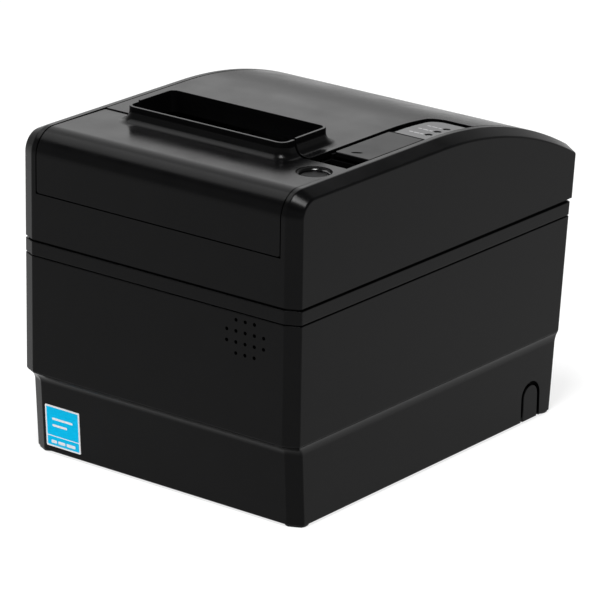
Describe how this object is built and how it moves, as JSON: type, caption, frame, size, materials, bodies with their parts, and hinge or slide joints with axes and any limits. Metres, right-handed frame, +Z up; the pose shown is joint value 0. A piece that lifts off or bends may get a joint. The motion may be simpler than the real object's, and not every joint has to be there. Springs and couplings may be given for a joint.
{
  "type": "receipt printer",
  "caption": "Desktop receipt printer with a raised paper slot, rear-hinged paper cover, print and cutter mechanism, roll bucket and a sloped base for the power supply.",
  "frame": {"origin": "middle of the footprint, on the table under the rubber feet", "axes": "+X to the printer's right, +Y towards its back, +Z up; the front faces -Y"},
  "size_m": [0.145, 0.196, 0.149],
  "materials": {
    "case_plastic": "fine satin texture",
    "inner_plastic": "plain moulded",
    "button_plastic": "smooth satin",
    "label_film": "printed film",
    "tag_film": "printed film",
    "lamp_plastic": "clear light pipe",
    "steel": "bright sheet",
    "aluminium": "plain",
    "circuit_board": "solder mask",
    "rubber": "matte",
    "gear_plastic": "moulded",
    "bush_metal": "plain",
    "coil_tape": "wound tape"
  },
  "bodies": {
    "chassis": {"base_tray": "case_plastic", "base_plate": "steel", "rubber_feet": "rubber", "base_screws": "steel", "cable_plug": "case_plastic", "front_tag": "tag_film", "power_board": "circuit_board", "transformer": "coil_tape", "capacitors": "inner_plastic", "power_inlet": "inner_plastic", "switch_housing": "inner_plastic", "lower_case": "case_plastic", "sounder": "inner_plastic", "main_board": "circuit_board", "main_chips": "inner_plastic", "interface_plate": "steel", "interface_board": "circuit_board", "serial_socket": "steel", "network_socket": "steel", "usb_socket": "steel", "drawer_socket": "inner_plastic", "middle_frame": "case_plastic", "case_screws": "steel", "paper_bucket": "inner_plastic", "paper_end_sensor": "inner_plastic", "upper_case": "case_plastic", "front_cover": "case_plastic", "latch_pin": "steel", "mech_frame": "steel", "frame_screws": "steel", "gear_stud": "steel", "stepper_motor": "steel", "print_head": "gear_plastic", "heat_sink": "aluminium", "head_spring": "steel", "cutter_frame": "steel", "cutter_motor": "steel", "control_tray": "inner_plastic", "feed_switch": "inner_plastic", "status_label": "label_film", "status_lamps": "lamp_plastic", "panel_board": "circuit_board"},
    "cover": {"paper_cover": "case_plastic", "hinge_pins": "steel", "platen_bushes": "bush_metal", "fixed_blade": "steel"},
    "platen": {"platen_shaft": "steel", "platen_rubber": "rubber", "platen_gear": "gear_plastic"},
    "idler": {"idler_gear": "gear_plastic"},
    "pinion": {"motor_pinion": "steel"},
    "latch": {"latch_lever": "gear_plastic"},
    "open_key": {"open_button": "button_plastic"},
    "feed_key": {"feed_button": "button_plastic"},
    "blade": {"cutter_blade": "steel"},
    "rocker": {"power_rocker": "button_plastic"}
  },
  "joints": [
    {"name": "cover_hinge", "type": "hinge", "parent": "chassis", "child": "cover", "pos_m": [0, 0.088, 0.11], "axis": [-1, 0, 0], "range_deg": [0, 95]},
    {"name": "platen_spin", "type": "hinge", "parent": "cover", "child": "platen", "pos_m": [-0.0045, -0.0465, 0.121], "axis": [1, 0, 0], "continuous": true},
    {"name": "idler_spin", "type": "hinge", "parent": "chassis", "child": "idler", "pos_m": [-0.056, -0.04826, 0.09947], "axis": [1, 0, 0], "continuous": true},
    {"name": "pinion_spin", "type": "hinge", "parent": "chassis", "child": "pinion", "pos_m": [-0.056, -0.06127, 0.08646], "axis": [1, 0, 0], "continuous": true},
    {"name": "open_press", "type": "slide", "parent": "chassis", "child": "open_key", "axis": [0, 0, -1], "range_m": [0, 0.0025], "stiffness_N_per_m": 400},
    {"name": "latch_tip", "type": "hinge", "parent": "chassis", "child": "latch", "pos_m": [0.0458, -0.056, 0.114], "axis": [1, 0, 0], "range_deg": [0, 15]},
    {"name": "feed_press", "type": "slide", "parent": "chassis", "child": "feed_key", "axis": [0, 0, -1], "range_m": [0, 0.0008], "stiffness_N_per_m": 800},
    {"name": "cutter_slide", "type": "slide", "parent": "chassis", "child": "blade", "axis": [0, 1, 0], "range_m": [0, 0.009]},
    {"name": "rocker_tip", "type": "hinge", "parent": "chassis", "child": "rocker", "pos_m": [-0.01, 0.08312, 0.01874], "axis": [-1, 0, 0], "range_deg": [0, 16]}
  ],
  "couplings": [
    {"joint": "idler_spin", "follows": "platen_spin", "ratio": -0.6875},
    {"joint": "pinion_spin", "follows": "platen_spin", "ratio": 1.5714},
    {"joint": "latch_tip", "follows": "open_press", "rad_per_m": 96.154}
  ]
}
